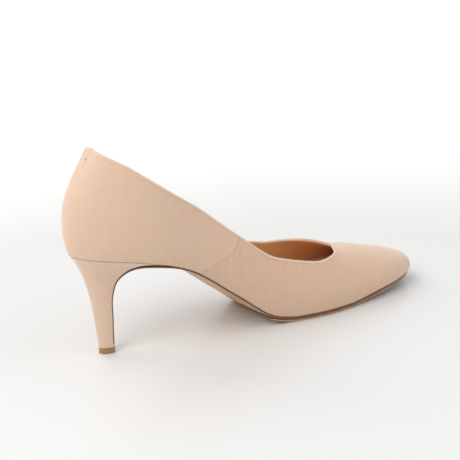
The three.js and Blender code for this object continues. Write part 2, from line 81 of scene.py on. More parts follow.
# the last: millimetres, x from the back of the heel, +y to the outer side
last = {
    "length": 232,
    "tipX": 17.7,
    "seatHeight": 56.5,
    "foreHeight": 3.3,
    "breastX": 42,
    "ballX": 126,
    "undercut": 2.2,
    "undercutHeight": 14,
    "throat": 0.66,
    "throatFeather": 0.7,
    "insetReach": 0.35,
    "backReach": 0.5,
    "fade": 0.8,
    "crown": 0.9,
}


def lerp(a, b, share):
    return a * (1 - share) + b * share


def smooth(low, high, value):
    # 0 below low, 1 above high, 3q^2 - 2q^3 between
    q = np.clip((value - low) / (high - low), 0, 1)
    return q * q * (3 - 2 * q)


def through(*points):
    # piecewise cubic through [x, y] points, each inner slope the weighted mean of the rises beside it
    x, y = np.array(points, float).T
    rise = np.diff(y) / np.diff(x)
    before, after = np.diff(x)[:-1], np.diff(x)[1:]
    middle = (rise[:-1] * after + rise[1:] * before) / (before + after)
    slope = np.concatenate([[2 * rise[0] - middle[0]], middle, [2 * rise[-1] - middle[-1]]])

    def curve(at):
        q = np.clip(at, x[0], x[-1])
        i = np.clip(np.searchsorted(x, q, side="right") - 1, 0, len(x) - 2)
        h = x[i + 1] - x[i]
        t = (q - x[i]) / h
        bow = slope[i] * (1 - t) - slope[i + 1] * t
        return lerp(y[i], y[i + 1], t * t * (3 - 2 * t)) + h * t * (1 - t) * bow

    return curve


outerHalf = through([0, 0], [0.12, 18], [0.25, 28], [0.4, 24.5], [0.5, 29], [0.58, 35.5], [0.66, 35.5],
                    [0.75, 29.5], [0.85, 19.5], [0.93, 10.3], [1, 0])
innerHalf = through([0, 0], [0.12, 18], [0.25, 28], [0.4, 23.5], [0.5, 28], [0.58, 32.3], [0.66, 31],
                    [0.75, 28], [0.85, 19.5], [0.93, 10.3], [1, 0])
crestHeight = through([0, 94], [0.25, 87], [0.42, 67], [0.5, 59], [0.58, 43], [0.66, 27], [0.75, 17.5],
                      [0.85, 10.5], [0.93, 6], [1, 0])
soleCurve = through([0, last["seatHeight"]], [30, 53.8], [60, 43.2], [90, 22], [112, 6.4],
                    [126, last["foreHeight"]], [165, last["foreHeight"]], [192, 6.8], [215, 8.4], [232, 9])
bottomBulge = through([last["breastX"], 0], [92, 1.6], [125, 0])
backCurve = through([0, 1.2], [22, 0], [58, 19], [90, 34])
outerTop = through([0, 35.3], [0.06, 34.9], [0.18, 31.2], [0.38, 26.9], [0.56, 28.5], [0.69, 36], [0.8, 42],
                   [0.895, 61], [0.96, 84], [1, 90])
innerTop = through([0, 35.3], [0.06, 34.4], [0.18, 32], [0.38, 27.4], [0.56, 32.5], [0.69, 37.5], [0.8, 44],
                   [0.895, 63], [0.96, 84], [1, 90])
seamRow = through([0, 0.5], [0.3, 0.5265], [0.6, 0.544], [0.8, 0.5465], [1, 0.54])


def halfWidth(s, side):
    return np.where(side > 0, outerHalf(s), innerHalf(s))


def soleLine(x):
    return np.maximum(soleCurve(x), last["foreHeight"])


def leanAt(s, rise):
    return backCurve(rise) * np.clip(1 - s / last["backReach"], 0, 1) ** last["fade"]


def stationX(s, inset):
    # length * (1 - cos) / 2, shortened by the inset near both ends
    back, front = (np.clip(1 - q / last["insetReach"], 0, 1) ** 2 for q in (s, 1 - s))
    return last["length"] * (1 - np.cos(np.pi * s)) / 2 + inset * (back - front)


def stationAt(x):
    return np.arccos(np.clip(1 - 2 * x / last["length"], -1, 1)) / np.pi


def footX(s, inset):
    return stationX(s, inset) + leanAt(s, 0)


def shrunk(size, by):
    return size * size / np.maximum(size + by, 1e-6)


def featherHalf(s, side, inset):
    width = halfWidth(s, side)
    return np.maximum(shrunk(width, inset) - last["undercut"] * np.clip(width / 12, 0, 1), 0)


def soleAt(x, y):
    # sole line less a bulge that fades as the square of the way out to the feather edge
    edge = featherHalf(stationAt(x), np.where(y < 0, -1, 1), 0)
    share = np.clip(np.abs(y) / np.maximum(edge, 1e-6), 0, 1)
    return soleLine(x) - bottomBulge(x) * (1 - share**2)


# how the height of a layer's foot follows its depth behind the upper's face
def lowAt(depth):
    middle = lerp(1.2, 1.5, (depth - 1.2) / 1.4)
    return np.where(depth <= 1.2, depth, np.where(depth < 2.6, middle, depth - 1.1))


def wallPoint(s, angle, side, depth):
    # x: station plus lean; y: half width * cos^0.9 less the turn-in at the foot
    # z: foot plus crest height * sin
    low = lowAt(depth)
    width = halfWidth(s, side)
    rise = shrunk(crestHeight(s), depth + low) * np.sin(angle)
    nearFoot = np.clip(1 - rise / last["undercutHeight"], 0, 1) ** 2
    turnIn = last["undercut"] * nearFoot * np.clip(width / 12, 0, 1)
    cos = np.maximum(np.cos(angle), 0)
    across = np.maximum(shrunk(width, depth) * cos ** last["crown"] - turnIn, 0)
    foot = soleAt(footX(s, depth), side * featherHalf(s, side, depth))
    x, y, z = np.broadcast_arrays(stationX(s, depth) + leanAt(s, rise), side * across, foot + low + rise)
    return np.stack([x, y, z], -1)


def toplineStation(v):
    return last["throat"] * (1 - (1 - np.minimum(v, 1)) ** 1.35)


def toplineAngle(v, side):
    return np.radians(np.where(side > 0, outerTop(v), innerTop(v)))


def dot(a, b):
    return (a * b).sum(-1)


def besideTopline(v, side, away):
    # station and angle a set distance outside the topline, square to it along the wall
    v, side, away = np.broadcast_arrays(np.asarray(v, float), side, away)
    s, angle, step = toplineStation(v), toplineAngle(v, side), 1e-3
    here = wallPoint(s, angle, side, 0.0)
    up = (here - wallPoint(s, angle - step, side, 0.0)) / step
    ahead = (wallPoint(s + step, angle, side, 0.0) - here) / step
    back, front = np.maximum(v - 4 * step, 0), np.minimum(v + 4 * step, 1)
    tangent = (wallPoint(toplineStation(front), toplineAngle(front, side), side, 0.0)
               - wallPoint(toplineStation(back), toplineAngle(back, side), side, 0.0))
    tangent = np.where(((v > 0) & (v < 1))[..., None], tangent, np.array([0.0, 1.0, 0.0]))
    square = np.cross(np.cross(ahead, up), tangent)
    square /= np.linalg.norm(square, axis=-1, keepdims=True)
    onAhead = dot(square, ahead) / np.linalg.norm(ahead, axis=-1)
    onUp = dot(square, up) / np.linalg.norm(up, axis=-1)
    wrong = onAhead < onUp
    square = np.where(wrong[..., None], -square, square)
    aa, au, uu = dot(ahead, ahead), dot(ahead, up), dot(up, up)
    qa, qu = dot(square, ahead) * away, dot(square, up) * away
    scale = aa * uu - au * au
    turned = np.minimum(angle + (qu * aa - qa * au) / scale, np.pi / 2)
    return np.maximum(s + (qa * uu - qu * au) / scale, 0), np.where(v >= 1, np.pi / 2, turned)


def bandPlace(v, t, side, away):
    # rows follow the topline to the throat (0 to 1), then run on over the toe (1 to 2)
    within = np.minimum(v, 1)
    topStation, topAngle = besideTopline(within, side, away)
    start = lerp(within * last["throatFeather"], topStation, t)
    return np.where(v > 1, lerp(start, 1, v - 1), start), topAngle * t


# meshes from grids
def inFrame(points):
    return (points - np.array([last["tipX"], 0, 0])) * 0.001


def tidyFaces(quads):
    # four-cornered faces with one corner doubled become triangles, and collapsed ones are dropped
    same = quads == np.roll(quads, -1, axis=1)
    whole = quads[~same.any(1) & (quads[:, 0] != quads[:, 2]) & (quads[:, 1] != quads[:, 3])]
    once = same.sum(1) == 1
    corner = np.argmax(same[once], axis=1)
    turned = np.take_along_axis(quads[once], (corner[:, None] + np.arange(1, 5)) % 4, axis=1)
    three = turned[:, :3]
    three = three[(three[:, 0] != three[:, 1]) & (three[:, 1] != three[:, 2]) & (three[:, 2] != three[:, 0])]
    return whole, three


def sweep(rows, columns, offset=0, aroundRows=False, aroundColumns=False):
    # the faces of a grid of points, joined round on itself if asked
    ids = np.arange(rows * columns).reshape(rows, columns) + offset
    if aroundRows:
        ids = np.vstack([ids, ids[:1]])
    if aroundColumns:
        ids = np.hstack([ids, ids[:, :1]])
    return np.stack([ids[:-1, :-1], ids[1:, :-1], ids[1:, 1:], ids[:-1, 1:]], -1).reshape(-1, 4)


def makeMesh(name, points, quads, paint=None):
    # welds points that meet, drops collapsed faces and turns the solid to face out
    _, first, ids = np.unique(np.round(points, 4), axis=0, return_index=True, return_inverse=True)
    whole, three = tidyFaces(ids.reshape(-1)[quads])
    kept = points[first]
    fans = np.vstack([whole[:, [0, 1, 2]], whole[:, [0, 2, 3]], three])
    a, b, c = (kept[fans[:, i]] for i in range(3))
    if dot(a, np.cross(b, c)).sum() < 0:
        whole, three = whole[:, ::-1], three[:, ::-1]
    mesh = bpy.data.meshes.new(name)
    mesh.from_pydata(inFrame(kept).tolist(), [], whole.tolist() + three.tolist())
    mesh.shade_smooth()
    if paint is not None:
        painted = mesh.attributes.new("paint", "FLOAT", "POINT")
        painted.data.foreach_set("value", paint[first].astype(np.float32))
    made = bpy.data.objects.new(name, mesh)
    scene.collection.objects.link(made)
    return made


def makeShell(name, grids):
    # each grid: outer points, inner points, whether it is mirrored, and optional paint for both faces
    outside = np.concatenate([g["out"].reshape(-1, 3) for g in grids])
    inside = np.concatenate([g["in"].reshape(-1, 3) for g in grids])
    pairs = np.round(np.hstack([outside, inside]), 3)
    _, first, ids = np.unique(pairs, axis=0, return_index=True, return_inverse=True)
    ids, faces, offset = ids.reshape(-1), [], 0
    for g in grids:
        rows, columns = g["out"].shape[:2]
        quads = sweep(rows, columns, offset)
        faces.append(quads[:, ::-1] if g.get("mirrored") else quads)
        offset += rows * columns
    faces = ids[np.concatenate(faces)]
    starts, ends = faces.reshape(-1), np.roll(faces, -1, axis=1).reshape(-1)
    real = starts != ends
    starts, ends, count = starts[real], ends[real], len(first)
    alone = ~np.isin(ends * count + starts, starts * count + ends)
    p, q = starts[alone], ends[alone]
    rims = np.stack([q, p, p + count, q + count], -1)
    paint = None
    if "paintOut" in grids[0]:
        paint = np.concatenate([np.concatenate([g[k].reshape(-1) for g in grids])[first]
                                for k in ("paintOut", "paintIn")])
    quads = np.vstack([faces, faces[:, ::-1] + count, rims])
    return makeMesh(name, np.vstack([outside[first], inside[first]]), quads, paint)


def distanceTo(points, line):
    # distance from each point to the nearest stretch of a line of points
    a, way = line[:-1], np.diff(line, axis=0)
    long = np.maximum(dot(way, way), 1e-12)
    found = []
    for block in np.array_split(points.reshape(-1, 1, 3), 40):
        t = np.clip(dot(block - a, way) / long, 0, 1)
        found.append(np.linalg.norm(block - a - t[..., None] * way, axis=-1).min(1))
    return np.concatenate(found).reshape(points.shape[:-1])


def alongRows(points, axis):
    # length run along a grid from its first row or column
    steps = np.linalg.norm(np.diff(points, axis=axis), axis=-1)
    return np.insert(np.cumsum(steps, axis=axis), 0, 0, axis=axis)


def roundedEdge(distance, radius):
    # a quarter circle: 0 at the edge, 1 from the radius on
    return np.sqrt(1 - (1 - np.clip(distance / radius, 0, 1)) ** 2)


def easedTo(edgeSteps, length, count):
    # parameter values that crowd towards the end at the given distances in mm
    ends = 1 - np.array(edgeSteps) / length
    return np.concatenate([np.linspace(0, ends.min(), count, endpoint=False), np.sort(ends)])


edgeSteps = [1.4, 0.9, 0.6, 0.42, 0.28, 0.17, 0.08, 0.02, 0]

# sheets of the upper and its lining: band = wall from the feather edge to the topline, margin = turned under
wallSheets = {
    "edgeAway": 1.62,
    "seamGap": 0.00012,
    "bandRows": 74,
    "toeRows": 96,
    "columns": 52,
    "cornerSteps": 5,
    "cornerTop": 0.01,
    "margin": 7,
    "marginSteps": 4,
}


def wallColumns():
    return easedTo(edgeSteps, 40, wallSheets["columns"])


def marginPoint(corner, share, depth):
    # from the foot of the wall in towards the middle of the sole, at the layer's own height
    spine = corner.copy()
    spine[..., 0] = np.clip(spine[..., 0], 24, last["length"] - 26)
    spine[..., 1] = 0
    reach = np.maximum(np.linalg.norm(corner - spine, axis=-1), 1e-6)
    inward = np.minimum(wallSheets["margin"], 0.8 * reach) * share / reach
    inner = corner + (spine - corner) * inward[..., None]
    inner[..., 2] = soleAt(inner[..., 0], inner[..., 1]) + lowAt(depth)
    return inner


def sheetGrid(rowOf, shares, side, depthOf):
    # depthOf(distance to the topline, distance to the seam) gives the two depths of the sheet's faces
    t = wallColumns()[None, :]
    v = rowOf(shares[:, None], t)
    s, angle = bandPlace(v, t, side, wallSheets["edgeAway"])
    face = wallPoint(s, angle, side, 0.0)
    up = alongRows(face, 1)
    toTop = up[:, -1:] - up
    along = alongRows(face, 0)
    past = np.argmin(np.abs(shares - 1)) if shares[-1] > 1 else len(shares) - 1
    beyond = np.maximum(along - along[past], 0)
    toTop = np.where(shares[:, None] > 1, np.hypot(toTop, beyond), toTop)
    toSeam = along if shares[-1] > 1 else along[-1:] - along
    depths = depthOf(toTop, toSeam)
    walls = [wallPoint(s, angle, side, d) for d in depths]
    corner = walls[1][:, :1]
    under = np.linspace(1, 0.08, wallSheets["marginSteps"])[None, :]
    turned = [marginPoint(corner, under, d[:, :1]) for d in depths]
    low = np.searchsorted(t[0], wallSheets["cornerTop"])
    w = np.linspace(0, 1, wallSheets["cornerSteps"] + 2)[1:-1][None, :, None]
    made = []
    for wall, margin in zip(walls, turned):
        # the corner is a parabola between the last margin point and the first wall point above it
        bend = margin[:, -1:] * (1 - w) ** 2 + wall[:, :1] * 2 * w * (1 - w) + wall[:, low:low + 1] * w**2
        made.append(np.concatenate([margin, bend, wall[:, low:]], axis=1))
    return {"out": made[0], "in": made[1], "mirrored": side < 0}


def quarterRow(share, t):
    return (seamRow(t) - wallSheets["seamGap"]) * share


def vampRow(share, t):
    return np.where(share <= 1, lerp(seamRow(t) + wallSheets["seamGap"], 1, share), share)


def quarterShares():
    return easedTo(edgeSteps, 95, wallSheets["bandRows"])


def vampShares():
    wing = 1 - easedTo(edgeSteps, 75, wallSheets["bandRows"])[::-1]
    toe = 1 + np.sin(np.linspace(0, np.pi / 2, wallSheets["toeRows"] + 1)[1:])
    return np.concatenate([wing, toe])


def bothSides(name, rowOf, shares, depthOf):
    return makeShell(name, [sheetGrid(rowOf, shares, side, depthOf) for side in (1.0, -1.0)])


upper = {"thick": 1.2, "edgeRadius": 0.14, "ridge": 0.1, "ridgeAt": 0.45, "ridgeWidth": 0.35}


def upperDepths(toTop, toSeam):
    # two faces that meet on a rounded edge, with a low ridge where the seam allowance lies under the suede
    half = upper["thick"] / 2
    full = roundedEdge(np.minimum(toTop, toSeam), upper["edgeRadius"])
    ridge = upper["ridge"] * np.exp(-(((toSeam - upper["ridgeAt"]) / upper["ridgeWidth"]) ** 2)) * full
    return half - half * full - ridge, half + half * full


lining = {"topDepth": 1.75, "fullDepth": 2.6, "thick": 0.75, "settle": 11, "edgeRadius": 0.35}


def liningDepths(toTop, toSeam):
    # thin under the fold at the topline, at full depth a finger's width below it
    start = lerp(lining["topDepth"], lining["fullDepth"], smooth(0, lining["settle"], toTop))
    half = lining["thick"] / 2
    full = roundedEdge(np.minimum(toTop, toSeam), lining["edgeRadius"])
    return start + half - half * full, start + half + half * full


quarterSuede = bothSides("quarter_suede", quarterRow, quarterShares(), upperDepths)
vampSuede = bothSides("vamp_suede", vampRow, vampShares(), upperDepths)
quarterSkin = bothSides("quarter_lining_skin", quarterRow, quarterShares(), liningDepths)
vampSkin = bothSides("vamp_lining_skin", vampRow, vampShares(), liningDepths)
print("upper and lining made")

# the folded edge round the topline, and the row of stitches below it
fold = {"width": 1.7, "depth": 2.3, "proud": 0.05, "rows": 210, "around": 20, "square": 0.62}


def toplineRows(count, end=1.0):
    # crowded towards the throat, where the line turns most
    return end * (1 - (1 - np.linspace(0, 1, count)) ** 1.3)


def makeRibbon(name, rows, awayFrom, awayTo, depthFrom, depthTo, square, around):
    # a rounded oblong section, (cos^square, sin^square), carried right round the topline
    turn = np.linspace(0, 2 * np.pi, around, endpoint=False)
    across = np.sign(np.cos(turn)) * np.abs(np.cos(turn)) ** square
    deep = np.sign(np.sin(turn)) * np.abs(np.sin(turn)) ** square
    away = (awayFrom + awayTo) / 2 + across * (awayTo - awayFrom) / 2
    depth = (depthFrom + depthTo) / 2 + deep * (depthTo - depthFrom) / 2
    loops = []
    for side, these in ((1.0, rows), (-1.0, rows[-2:0:-1] if rows[-1] >= 1 else rows[:0:-1])):
        v = these[:, None]
        s, angle = besideTopline(v, side, away[None, :])
        loops.append(wallPoint(s, angle, side, depth[None, :]))
    if rows[-1] >= 1:
        points = np.concatenate(loops)
        quads = sweep(len(points), around, aroundRows=True, aroundColumns=True)
        return makeMesh(name, points.reshape(-1, 3), quads)
    points = np.concatenate([loops[1], loops[0]])
    ends = [np.repeat(points[i].mean(0)[None, None], around, axis=1) for i in (0, -1)]
    points = np.concatenate([ends[0], points, ends[1]])
    return makeMesh(name, points.reshape(-1, 3), sweep(len(points), around, aroundColumns=True))


toplineFold = makeRibbon("topline_fold", toplineRows(fold["rows"]), 0, fold["width"], -fold["proud"],
                         fold["depth"], fold["square"], fold["around"])
tape = {"from": 2.3, "width": 4, "depth": 1.3, "thick": 0.35, "end": 0.9}
toplineTape = makeRibbon("topline_tape_strip", toplineRows(90, tape["end"]), tape["from"],
                         tape["from"] + tape["width"], tape["depth"], tape["depth"] + tape["thick"], 0.4, 12)

stitches = {"away": 2.55, "pitch": 1.55, "length": 1.15, "radius": 0.16, "sink": 0.04}


def makeStitches():
    # short threads laid end to end below the fold, each a capsule that dips at both ends
    dense = toplineRows(1200)
    share = np.linspace(-1, 1, 7)
    radius = stitches["radius"] * np.sqrt(np.maximum(1 - share**4, 0))
    turn = np.linspace(0, 2 * np.pi, 6, endpoint=False)
    points, quads = [], []
    for side in (1.0, -1.0):
        s, angle = besideTopline(dense, side, stitches["away"])
        line = wallPoint(s, angle, side, stitches["sink"])
        face = line - wallPoint(s, angle, side, stitches["sink"] + 0.5)
        run = alongRows(line, 0)
        count = int(run[-1] / stitches["pitch"])
        centres = (np.arange(count) + 0.5) * run[-1] / count
        at = centres[:, None] + share[None, :] * stitches["length"] / 2
        spine = np.stack([np.interp(at, run, line[:, i]) for i in range(3)], -1)
        out = np.stack([np.interp(at, run, face[:, i]) for i in range(3)], -1)
        out /= np.linalg.norm(out, axis=-1, keepdims=True)
        spine -= out * (stitches["radius"] * 0.7 * share**2)[None, :, None]
        way = spine[:, -1:] - spine[:, :1]
        way /= np.linalg.norm(way, axis=-1, keepdims=True)
        beside = np.cross(way, out)
        ring = out[:, :, None] * np.cos(turn)[:, None] + beside[:, :, None] * np.sin(turn)[:, None]
        threads = spine[:, :, None] + ring * radius[None, :, None, None]
        for thread in threads:
            before = len(points) * len(share) * len(turn)
            quads.append(sweep(len(share), len(turn), before, aroundColumns=True))
            points.append(thread.reshape(-1, 3))
    return makeMesh("topline_stitches", np.concatenate(points), np.concatenate(quads))


toplineStitches = makeStitches()
print("topline made")

# flat layers under the foot: a grid of stations by shares of the half width
shares = np.sin(np.linspace(-np.pi / 2, np.pi / 2, 41))
footbedInset = 3.7


def plateGrid(stations, halfAt, inset, low, high, radius):
    # mid surface at the sole height, faces drawn together round the edge on a quarter circle
    side = np.where(shares < 0, -1.0, 1.0)[None, :]
    s = stations[:, None]
    x = footX(s, inset) + 0 * side
    y = shares[None, :] * halfAt(s, side)
    ground = soleAt(x, y)
    flat = np.stack([x, y, ground * 0], -1)
    outline = np.concatenate([flat[:, 0], flat[-1], flat[::-1, -1], flat[0, ::-1]])
    toEdge = distanceTo(flat, outline)
    full = roundedEdge(toEdge, radius)
    half, middle = (high - low) / 2, ground + (high + low) / 2
    faces = [np.stack([x, y, middle + way * half * full], -1) for way in (1, -1)]
    return {"out": faces[0], "in": faces[1]}


def roomHalf(s, side, top):
    # half width of the room between the lining walls for a layer whose top is at that height
    low = float(lowAt(np.array(footbedInset)))
    rise = shrunk(crestHeight(s), footbedInset + low)
    angle = np.arcsin(np.clip((top + 0.3 - low) / np.maximum(rise, 1e-6), 0, 1))
    wall = np.abs(wallPoint(s, angle, side, footbedInset)[..., 1])
    room = np.maximum(np.minimum(featherHalf(s, side, footbedInset), wall - 0.15), 0)
    return np.where(angle < np.pi / 2 - 1e-6, room, 0)


def footbed(name, fromX, toX, low, thick, radius, rows, widen=0.0):
    top = low + thick
    tried = np.linspace(0.8, 1, 2001)
    roomy = roomHalf(tried, np.ones_like(tried), top) > 0
    start, end = float(stationAt(np.array(fromX))), min(float(stationAt(np.array(toX))), tried[roomy].max())
    turn = np.linspace(0, np.pi, rows)
    stations = start + (end - start) * (1 - np.cos(turn)) / 2 * 0.35 + (end - start) * 0.65 * turn / np.pi

    def half(s, side):
        room = roomHalf(s, side, top)
        return np.where(room > 0, room + widen, 0)

    return makeShell(name, [plateGrid(stations, half, footbedInset, low, top, radius)])


sock = {"low": 6.4, "thick": 0.8, "radius": 0.35, "rows": 110}
pads = {"low": 4.7, "thick": 1.4, "radius": 0.6, "join": 0.35, "padX": 70.1, "boardX": 131.4}
sockSkin = footbed("sock_lining_skin", 0, last["length"], sock["low"], sock["thick"], sock["radius"],
                   sock["rows"], widen=0.12)
heelPad = footbed("heel_pad_foam", 0, pads["padX"] - pads["join"], pads["low"], pads["thick"],
                  pads["radius"], 40)
archPad = footbed("arch_pad_foam", pads["padX"] + pads["join"], pads["boardX"] - pads["join"], pads["low"],
                  pads["thick"], pads["radius"], 40)
forePad = footbed("forepart_foam", pads["boardX"] + pads["join"], last["length"], pads["low"], pads["thick"],
                  pads["radius"], 50)
print("footbed made")

# the heel: rings from the tip (k = 0) to the seat (k = 1)
heel = {
    "foot": 3.42,
    "coverThick": 0.5,
    "seatGap": -0.15,
    "edgeRadius": 0.12,
    "levels": 90,
    "turns": 46,
}
heelBack = through([0, 13.8], [0.35, 11.9], [0.6, 9.7], [0.78, 7], [0.92, 3.8], [1, 1.2])
heelBreast = through([0, 20.6], [0.3, 20.3], [0.6, 20.4], [0.72, 21.8], [0.82, 24.6], [0.9, 28],
                     [0.95, 31.6], [0.985, 37.2], [1, last["breastX"]])
breastStation = float(stationAt(np.array(float(last["breastX"]))))
heelHalf = through([0, 3.9], [0.35, 5.2], [0.6, 6.6], [0.78, 9.8], [0.9, 15.8], [0.96, 21],
                   [1, float(featherHalf(np.array(breastStation), np.array(1.0), 0.0))])


def heelPoint(k, turn, side, inset, seatGap):
    # each ring blends from a half ellipse at the tip to the seat's own outline, by k^4
    edge = wallPoint(np.array(breastStation), np.array(0.0), np.array(1.0), np.array(0.0))
    back = wallPoint(np.array(0.0), np.array(0.0), np.array(1.0), np.array(0.0))[0]
    top = wallPoint(breastStation * turn, 0.0 * turn, side, 0.0)
    edgeHere = wallPoint(np.array(breastStation), np.array(0.0), side, 0.0)
    blend = k**4
    along = lerp(1 - np.cos(turn * np.pi / 2), (top[..., 0] - back) / (edge[0] - back), blend)
    across = lerp(np.sin(turn * np.pi / 2), np.abs(top[..., 1] / edgeHere[..., 1]), blend)
    x = lerp(heelBack(k) + inset, heelBreast(k), along)
    y = side * (heelHalf(k) - inset) * across
    z = lerp(heel["foot"], soleLine(x) - seatGap, k)
    x, y, z = np.broadcast_arrays(x, y, z)
    return np.stack([x, y, z], -1)


def makeHeelCover():
    # suede wrapped round the heel from one breast edge to the other
    up = easedTo([0.9, 0.5, 0.3, 0.18, 0.08, 0.02, 0], 50, heel["levels"] // 2)
    k = np.unique(np.concatenate([1 - up, up, np.linspace(0, 1, heel["levels"])]))[:, None]
    around = easedTo([0.8, 0.5, 0.3, 0.18, 0.08, 0.02, 0], 14, heel["turns"])
    grids = []
    for side in (1.0, -1.0):
        turn = around[None, :]
        faces = [heelPoint(k, turn, side, inset, heel["seatGap"]) for inset in (0.0, heel["coverThick"])]
        up, over = alongRows(faces[0], 0), alongRows(faces[0], 1)
        toEdge = np.minimum(np.minimum(up, up[-1:] - up), over[:, -1:] - over)
        full = roundedEdge(toEdge, heel["edgeRadius"])[..., None]
        middle = (faces[0] + faces[1]) / 2
        outer, inner = (lerp(middle, face, full) for face in faces)
        grids.append({"out": outer, "in": inner, "mirrored": side < 0})
    return makeShell("heel_cover_suede", grids)


heelCover = makeHeelCover()
block = {"inset": 0.75, "top": 0.985, "levels": 80, "turns": 30}


def makeHeelBlock():
    # the moulded core under the cover, its rings closed by the flat breast and by a fan at each end
    turn = np.sin(np.linspace(-np.pi / 2, np.pi / 2, 2 * block["turns"] + 1))[None, :]
    k = np.linspace(0, block["top"], block["levels"])[:, None]
    rings = heelPoint(k, np.abs(turn), np.where(turn < 0, -1.0, 1.0), block["inset"], heel["seatGap"])
    ends = [np.repeat(rings[i].mean(0)[None, None], rings.shape[1], axis=1) for i in (0, -1)]
    points = np.concatenate([ends[0], rings, ends[1]])
    quads = sweep(*points.shape[:2], aroundColumns=True)
    return makeMesh("heel_block_core", points.reshape(-1, 3), quads)


heelCore = makeHeelBlock()

tip = {"half": 3.9, "height": 3.4, "round": 0.5, "topRound": 0.25, "waist": 0.12}


def makeTip():
    # a half ellipse closed by a flat front, drawn up from the ground on a rounded profile
    turn = np.linspace(-1, 1, 81) * np.pi / 2
    curved = np.stack([tip["half"] * (1 - 2 * np.cos(turn)), tip["half"] * np.sin(turn)], -1)
    flatY = np.linspace(1, -1, 25)[1:-1] * tip["half"]
    outline = np.vstack([curved, np.stack([flatY * 0 + tip["half"], flatY], -1)])
    for _ in range(4):
        outline = (np.roll(outline, 1, 0) + 2 * outline + np.roll(outline, -1, 0)) / 4
    q = np.linspace(0, np.pi / 2, 6)
    profile = [(1 - r, 0.0) for r in (1, 0.7, 0.4, 0.2)]
    foot = [(1 - tip["round"] / tip["half"] * (1 - math.sin(a)), tip["round"] * (1 - math.cos(a)))
            for a in q]
    sides = [(1 - tip["waist"] / tip["half"] * math.sin(math.pi * h),
              lerp(tip["round"], tip["height"] - tip["topRound"], h))
             for h in np.linspace(0, 1, 9)[1:-1]]
    head = [(1 - tip["topRound"] / tip["half"] * (1 - math.cos(a)),
             tip["height"] - tip["topRound"] * (1 - math.sin(a))) for a in q]
    lid = [(r, tip["height"]) for r in (0.8, 0.5, 0.25, 0)]
    radial, z = np.array([*profile, *foot, *sides, *head, *lid]).T
    flat = outline[None] * radial[:, None, None]
    points = np.concatenate([flat, np.broadcast_to(z[:, None, None], (*flat.shape[:2], 1))], -1)
    points[..., 0] += last["tipX"]
    return makeMesh("heel_tip_piece", points.reshape(-1, 3), sweep(*points.shape[:2], aroundColumns=True))


heelTip = makeTip()
print("heel made")

# outsole and tread
outsole = {
    "inset": 0.5,
    "gap": 0.12,
    "soften": 3,
    "thick": through([last["breastX"], 1], [last["breastX"] + 24, 1.2], [last["ballX"] - 36, 1.5]),
    "waistThick": 1,
    "flapThick": 0.7,
    "topShare": 0.4,
    "topRadius": 0.3,
    "edgeRadius": 0.7,
    "waistRadius": 3.2,
    "flapRadius": 0.35,
    "burnishAndShade": 0.45,
    "rows": 190,
    "flapRows": 90,
}


def softened(values, times):
    # each row moved half way to the mean of its neighbours, again and again, ends held
    for _ in range(times):
        values = values.copy()
        values[1:-1] = values[1:-1] / 2 + (values[:-2] + values[2:]) / 4
    return values


def makeOutsole():
    # the sole from the toe back to the heel, then its flap down the heel breast
    side = np.where(shares < 0, -1.0, 1.0)[None, :]
    start = float(stationAt(np.array(last["breastX"] + 4.0)))
    s = (1 - (1 - start) * (1 - np.cos(np.linspace(0, np.pi / 2, outsole["rows"]))))[:, None]
    x = footX(s, outsole["inset"]) + 0 * side
    y = shares[None, :] * featherHalf(s, side, outsole["inset"])
    z = soleAt(x, y) - outsole["gap"]
    under = np.stack([x, y, z], -1)
    k = np.linspace(0.992, 0.018, outsole["flapRows"])[:, None]
    one = np.ones_like(k)
    here = heelPoint(k, one, 1.0, 0.0, 0.4)
    along = heelPoint(k + 0.008, one, 1.0, 0.0, 0.4) - heelPoint(k - 0.008, one, 1.0, 0.0, 0.4)
    out = np.stack([along[..., 2], 0 * along[..., 1], -along[..., 0]], -1)
    out /= np.linalg.norm(out, axis=-1, keepdims=True)
    flap = here + out * outsole["gap"] + 0 * side[..., None]
    flap[..., 1] = shares[None, :] * (here[..., 1] - outsole["gap"])
    face = softened(np.concatenate([under, flap]), outsole["soften"])
    down = np.zeros_like(under)
    down[..., 2] = -1
    normal = softened(np.concatenate([down, out + 0 * flap]), outsole["soften"] * 2)
    normal /= np.linalg.norm(normal, axis=-1, keepdims=True)
    flapThick = lerp(outsole["flapThick"], outsole["waistThick"], np.clip((k - 0.75) / 0.22, 0, 1))
    thick = softened(np.concatenate([outsole["thick"](x[:, :1]), flapThick]), outsole["soften"])
    outline = np.concatenate([face[:, 0], face[-1], face[::-1, -1]])
    toEdge = distanceTo(face, outline)
    waist = smooth(44, 60, x[:, :1]) * (1 - smooth(96, 116, x[:, :1]))
    lowRadius = np.concatenate([lerp(outsole["edgeRadius"], outsole["waistRadius"], waist),
                                k * 0 + outsole["flapRadius"]])
    lowRadius = softened(lowRadius, 10)
    topFull = roundedEdge(toEdge, outsole["topRadius"])
    lowFull = roundedEdge(toEdge, lowRadius)
    middle = thick * outsole["topShare"]
    topDepth = middle - middle * topFull
    lowDepth = middle + (thick - middle) * lowFull
    # painted shade: the top of the edge is darkened, partly burnished edge colour and partly the shade in
    # the recess where the sole meets the upper
    dark = 1 - smooth(outsole["burnishAndShade"] * 0.5, outsole["burnishAndShade"] * 1.5, toEdge)
    return makeShell("outsole_leather", [{
        "out": face + normal * lowDepth[..., None],
        "in": face + normal * topDepth[..., None],
        "paintOut": dark,
        "paintIn": np.ones_like(dark),
    }])


outsoleLeather = makeOutsole()

tread = {"from": 110, "inset": 1.2, "low": -3.3, "thick": 1.2, "radius": 0.3, "rows": 120}


def makeTread():
    turn = np.linspace(0, np.pi / 2, tread["rows"])
    start = float(stationAt(np.array(float(tread["from"]))))
    stations = start + (1 - start) * np.sin(turn)
    return makeShell("tread_layer", [plateGrid(
        stations, lambda s, side: featherHalf(s, side, tread["inset"]), tread["inset"], tread["low"],
        tread["low"] + tread["thick"], tread["radius"])])


treadLayer = makeTread()
print("sole made")


